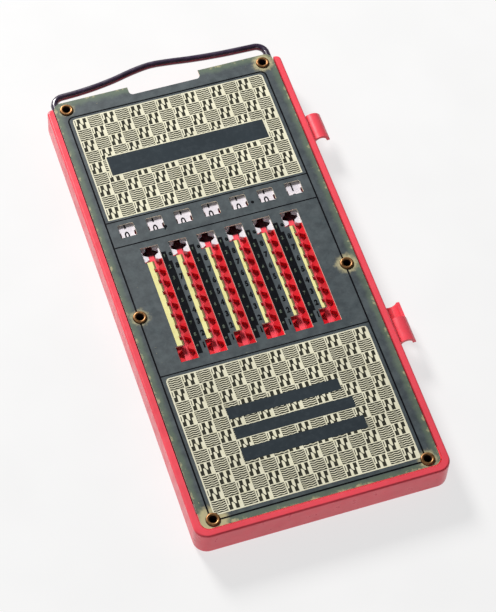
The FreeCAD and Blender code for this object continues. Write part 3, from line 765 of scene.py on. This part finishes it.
class ADDER_OT_bail(Operator):
    """Make the bail with its slightly uneven arch and give the clearing bar its steel"""

    bl_idname = "adder.bail"
    bl_label = "Bail and bar"

    def execute(self, context):
        looks = context.scene.adder_finish
        low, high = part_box("clearing_bail")
        wire = (high[2] - low[2]) / 2
        mesh = bmesh.new()
        self.sweep(mesh, self.route(high[0] - wire, low[1]), wire + COATING, low[2] + wire)
        piece = to_piece("bail_wire", mesh, coated_wire(looks), "bail")
        piece.data.shade_smooth()
        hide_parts("clearing_bail")
        dress("clearing_bar", aged_metal("bar_steel", looks.steel, 0.38, srgb(120, 118, 116)))
        return {"FINISHED"}

    def route(self, leg, foot):
        """Points along the wire: up the left leg, over the arch and down the right leg."""
        edge = PLATE_HIGH[1]
        points = [Vector((-leg, foot, 0)), Vector((-leg, edge - STRAIGHT, 0))]
        points += self.corner(-leg, edge + ARCH[0][1] * MM, 180)
        points += [Vector((x * MM, edge + y * MM, 0)) for x, y in ARCH[1:-1]]
        points += self.corner(leg, edge + ARCH[-1][1] * MM, 90)
        points += [Vector((leg, edge - STRAIGHT, 0)), Vector((leg, foot, 0))]
        return self.softened(points)

    def corner(self, side, top, start):
        """A quarter turn, clockwise, between a leg and the arch."""
        inward = BEND if side < 0 else -BEND
        centre = Vector((side + inward, top - BEND, 0))
        turns = [math.radians(start - 15 * step) for step in range(7)]
        return [centre + BEND * Vector((math.cos(turn), math.sin(turn), 0)) for turn in turns]

    def softened(self, points):
        """Three points for each stretch of the arch, on a smooth curve through the given ones."""
        out = [points[0]]
        for index in range(1, len(points) - 2):
            before, here, then, after = points[index - 1:index + 3]
            if index in (1, len(points) - 3):
                out.append(here)
                continue
            for share in (0.0, 1 / 3, 2 / 3):
                out.append(0.5 * (2 * here + (then - before) * share
                                  + (2 * before - 5 * here + 4 * then - after) * share ** 2
                                  + (3 * here - before - 3 * then + after) * share ** 3))
        return out + points[-2:]

    def sweep(self, mesh, points, radius, height):
        """Rings of the wire's section along the points, joined into a tube with closed ends."""
        rings = []
        for index, point in enumerate(points):
            way = (points[min(index + 1, len(points) - 1)] - points[max(index - 1, 0)]).normalized()
            turn = way.to_track_quat("Z", "Y").to_matrix().to_4x4()
            place = Matrix.Translation((point.x, point.y, height)) @ turn
            ring = bmesh.ops.create_circle(mesh, cap_ends=index in (0, len(points) - 1), segments=20,
                                           radius=radius, matrix=place)["verts"]
            rings.append([edge for edge in mesh.edges
                          if edge.verts[0] in ring and edge.verts[1] in ring])
        for near, far in zip(rings, rings[1:]):
            bmesh.ops.bridge_loops(mesh, edges=near + far)
        bmesh.ops.recalc_face_normals(mesh, faces=mesh.faces)


class ADDER_OT_pattern(Operator):
    """Print both pattern panels with their bare dark boxes"""

    bl_idname = "adder.pattern"
    bl_label = "Pattern panels"

    def execute(self, context):
        looks = context.scene.adder_finish
        sizes = context.scene.adder_print
        x0 = PRINT_X - sizes.half_width
        x1 = PRINT_X + sizes.half_width
        ground = print_ink("pattern_ground", looks.ground, srgb(84, 86, 72))
        cream = print_ink("pattern_cream", looks.cream, srgb(206, 200, 160))
        box_ink = print_ink("box_ground", srgb(48, 56, 62), srgb(66, 74, 80))
        panels = (("upper", sizes.upper_foot, sizes.upper_top, sizes.upper_rows, 0),
                  ("lower", sizes.lower_foot, sizes.lower_top, sizes.lower_rows, 1))
        for name, y0, y1, rows, first in panels:
            mesh = bmesh.new()
            patch(mesh, x0, x1, y0, y1, film_height(1))
            self.film(name + "_pattern_ground", mesh, ground)
            mesh = bmesh.new()
            dark = bmesh.new()
            tile_panel(mesh, dark, x0, x1, y0, y1, sizes.columns, rows, first, film_height(2))
            self.film(name + "_pattern", mesh, cream)
            self.film(name + "_meander", dark, ground)
        mesh = bmesh.new()
        for box in (TITLE_BOX, *WORD_BOXES):
            patch(mesh, *box, film_height(4))
        self.film("pattern_boxes", mesh, box_ink)
        mesh = bmesh.new()
        ring_line(mesh, *TITLE_BOX, TITLE_ROUND, TITLE_LINE, film_height(5))
        self.film("title_box_line", mesh, cream)
        return {"FINISHED"}

    def film(self, name, mesh, material):
        face_up(mesh)
        piece = to_piece(name, mesh, material, TRAY, FILM)


class ADDER_OT_lines(Operator):
    """Print the black border, the cross lines and the marks between the windows"""

    bl_idname = "adder.lines"
    bl_label = "Border and lines"

    def execute(self, context):
        looks = context.scene.adder_finish
        sizes = context.scene.adder_print
        ink = print_ink("border_ink", looks.ink, srgb(30, 34, 42))
        x0 = PRINT_X - sizes.border_half
        x1 = PRINT_X + sizes.border_half
        mesh = bmesh.new()
        self.border(mesh, x0, x1, sizes)
        for middle in CROSS_LINES:
            half = sizes.cross_line / 2
            patch(mesh, x0, x1, middle - half, middle + half, film_height(2))
        face_up(mesh)
        to_piece("border_lines", mesh, ink, TRAY, FILM)
        mesh = bmesh.new()
        for x, y, radius in MARKS:
            bmesh.ops.create_circle(mesh, cap_ends=True, segments=20, radius=radius,
                                    matrix=Matrix.Translation((x, y, film_height(2))))
        stretch_between(mesh, *MARK_TAIL, TAIL_WIDTH, film_height(3))
        face_up(mesh)
        to_piece("decimal_marks", mesh, ink, TRAY, FILM)
        return {"FINISHED"}

    def border(self, mesh, x0, x1, sizes):
        """The line round the plate. It stops under the flanges of the eyelets in its way."""
        half = sizes.line / 2
        radius = BORDER_ROUND
        gap = BORDER_GAP
        level = film_height(1)
        for x, side in ((x0, "left"), (x1, "right")):
            waist = eyelet_place("eyelet_middle_" + side)[1]
            corner = eyelet_place("eyelet_lower_" + side)[1]
            patch(mesh, x - half, x + half, corner + gap, waist - gap, level)
            patch(mesh, x - half, x + half, waist + gap, sizes.border_top - radius, level)
        left = eyelet_place("eyelet_lower_left")[0] + gap
        right = eyelet_place("eyelet_lower_right")[0] - gap
        patch(mesh, left, right, sizes.border_foot - half, sizes.border_foot + half, level)
        top_line(mesh, x0, x1, sizes.border_top, radius, sizes.line, level)


class ADDER_OT_slot_print(Operator):
    """Print the yellow margins, black bands and numbers beside the slots"""

    bl_idname = "adder.slot_print"
    bl_label = "Slot print"

    def execute(self, context):
        looks = context.scene.adder_finish
        sizes = context.scene.adder_print
        yellow = print_ink("margin_yellow", looks.margin, srgb(222, 204, 120), 0.5)
        ink = print_ink("number_ink", looks.ink, srgb(26, 30, 38))
        gold = print_ink("number_gold", looks.gold, srgb(66, 74, 66))
        digits = Digits(weight=0.06)
        # Painted shade along the yellow margins' edges
        shade = print_ink("margin_shade_film", looks.margin_edge, srgb(104, 92, 62), 0.5)
        margins = bmesh.new()
        edges = bmesh.new()
        bands = bmesh.new()
        black = bmesh.new()
        golden = bmesh.new()
        for index, x in enumerate(SLOT_X):
            self.margin(margins, edges, x, MARGIN_WIDTHS[index])
            if index < len(SLOT_X) - 1:
                edge = x + BAND_SHIFT
                for wide, foot, top in BANDS:
                    patch(bands, edge, edge + wide, foot, top, film_height(1))
            for step in range(9):
                y = sizes.nine_place - step * sizes.tooth_pitch
                outermost = step in (0, 8)
                if index:
                    centre = x + (BLACK_END_SHIFT if outermost else BLACK_SHIFT)
                    digits.stamp(black, str(9 - step), centre, y, film_height(2), BLACK_TALL)
                if index < len(SLOT_X) - 1:
                    centre = x + (GOLD_END_SHIFT if outermost else GOLD_SHIFT)
                    digits.stamp(golden, str(step + 1), centre, y, film_height(3), GOLD_TALL)
        films = (
            ("slot_margins", margins, yellow),
            ("slot_margin_painted_shade", edges, shade),
            ("slot_bands", bands, ink),
            ("slot_numbers", black, ink),
            ("band_numbers", golden, gold),
        )
        for name, mesh, material in films:
            face_up(mesh)
            to_piece(name, mesh, material, TRAY, FILM)
        return {"FINISHED"}

    def margin(self, mesh, edges, x, wide):
        """A bare strip beside a slot, with painted shade along its edge and a bite at every scallop.
        """
        left = x - wide - MARGIN_LEFT
        right = x - MARGIN_RIGHT
        patch(mesh, left, right - MARGIN_BITE, MARGIN_FOOT, MARGIN_TOP, film_height(1))
        level = MARGIN_TOP
        for step in range(SCALLOPS):
            centre = SCALLOP_PLACE - SCALLOP_PITCH * step
            self.tooth(mesh, edges, right, centre + SCALLOP_HALF, level)
            level = centre - SCALLOP_HALF
        self.tooth(mesh, edges, right, MARGIN_FOOT, level)

    def tooth(self, mesh, edges, right, low, high):
        """The stretch of a strip between two bites, with painted shade along its edge."""
        # Painted shade: the last stretch before the slot's edge is darker
        shade_left = right - MARGIN_SHADE
        patch(mesh, right - MARGIN_BITE, shade_left, low, high, film_height(1))
        patch(edges, shade_left, right, low, high, film_height(1))


# The studio's lamps: name, place, size, power and tint
LAMPS = (
    ("key_lamp", (-0.24, 0.83, 0.61), 0.30, 18.0, (1.0, 0.985, 0.965)),
    ("fill_lamp", (-0.35, -0.75, 0.60), 0.60, 1.0, (0.95, 0.97, 1.0)),
)
SKY_TINT = (0.93, 0.95, 1.0, 1)
SKY_STRENGTH = 0.07

# How far the floor reaches to each side, and how much its paper glows, to stay pale under a dim sky
FLOOR_REACH = 3
FLOOR_GLOW = 0.72

# The camera fitted to the photograph, its turn in degrees and its lens in millimetres
CAMERA_PLACE = (-0.12997, -0.33421, 0.57496)
CAMERA_TURN = (31.604, -2.088, -18.377)
CAMERA_LENS = 135.3


class ADDER_OT_stage(Operator):
    """Make the pale floor, the soft light and the camera at the photograph's angle"""

    bl_idname = "adder.stage"
    bl_label = "Studio"

    def execute(self, context):
        self.floor()
        for lamp in LAMPS:
            self.lamp(*lamp)
        self.sky(context)
        self.camera(context)
        return {"FINISHED"}

    def floor(self):
        mesh = bmesh.new()
        patch(mesh, -FLOOR_REACH, FLOOR_REACH, -FLOOR_REACH, FLOOR_REACH, 0)
        data = bpy.data.meshes.new("floor")
        mesh.to_mesh(data)
        mesh.free()
        finish = Finish("floor_paper", 0.9, specular=0.1)
        grain = finish.ramp(finish.noise(30, 2), 0.3, 0.7)
        finish.paint(finish.mix(grain, (0.19, 0.19, 0.19), (0.21, 0.21, 0.21)))
        finish.set(finish.shader, **{"Emission Color": (1.0, 1.0, 1.0, 1)})
        finish.set(finish.shader, **{"Emission Strength": FLOOR_GLOW})
        data.materials.append(finish.material)
        floor = bpy.data.objects.new("floor", data)
        bpy.context.scene.collection.objects.link(floor)

    def lamp(self, name, place, size, power, tint):
        """A round soft lamp that looks at the origin."""
        data = bpy.data.lights.new(name, "AREA")
        data.shape = "DISK"
        data.size = size
        data.energy = power
        data.color = tint
        lamp = bpy.data.objects.new(name, data)
        lamp.location = place
        lamp.rotation_euler = (-Vector(place)).to_track_quat("-Z", "Y").to_euler()
        bpy.context.scene.collection.objects.link(lamp)

    def sky(self, context):
        world = bpy.data.worlds.new("studio")
        world.use_nodes = True
        background = world.node_tree.nodes["Background"]
        background.inputs["Color"].default_value = SKY_TINT
        background.inputs["Strength"].default_value = SKY_STRENGTH
        context.scene.world = world

    def camera(self, context):
        data = bpy.data.cameras.new("camera")
        data.sensor_width = 36
        data.lens = CAMERA_LENS
        data.clip_start = 0.01
        data.clip_end = 10
        camera = bpy.data.objects.new("camera", data)
        camera.location = CAMERA_PLACE
        camera.rotation_euler = [math.radians(turn) for turn in CAMERA_TURN]
        bpy.context.scene.collection.objects.link(camera)
        context.scene.camera = camera
        context.scene.view_settings.view_transform = "Standard"


class ADDER_PT_panel(Panel):
    """Lists the adder's steps in the sidebar"""

    bl_label = "Slide Adder"
    bl_idname = "ADDER_PT_panel"
    bl_space_type = "VIEW_3D"
    bl_region_type = "UI"
    bl_category = "Slide Adder"

    def draw(self, context):
        for step in STEPS:
            self.layout.operator(step.bl_idname)
        for group in (context.scene.adder_finish, context.scene.adder_print):
            for name in group.__annotations__:
                self.layout.prop(group, name)


STEPS = (
    ADDER_OT_stage,
    ADDER_OT_tray,
    ADDER_OT_plate,
    ADDER_OT_sliders,
    ADDER_OT_eyelets,
    ADDER_OT_bail,
    ADDER_OT_pattern,
    ADDER_OT_lines,
    ADDER_OT_slot_print,
)
CLASSES = (AdderFinish, AdderPrint) + STEPS + (ADDER_PT_panel,)


def register():
    for one in CLASSES:
        bpy.utils.register_class(one)
    bpy.types.Scene.adder_finish = PointerProperty(type=AdderFinish)
    bpy.types.Scene.adder_print = PointerProperty(type=AdderPrint)


def unregister():
    del bpy.types.Scene.adder_print
    del bpy.types.Scene.adder_finish
    for one in reversed(CLASSES):
        bpy.utils.unregister_class(one)


def main():
    register()
    for step in STEPS:
        group, name = step.bl_idname.split(".")
        getattr(getattr(bpy.ops, group), name)()


if __name__ == "__main__":
    main()
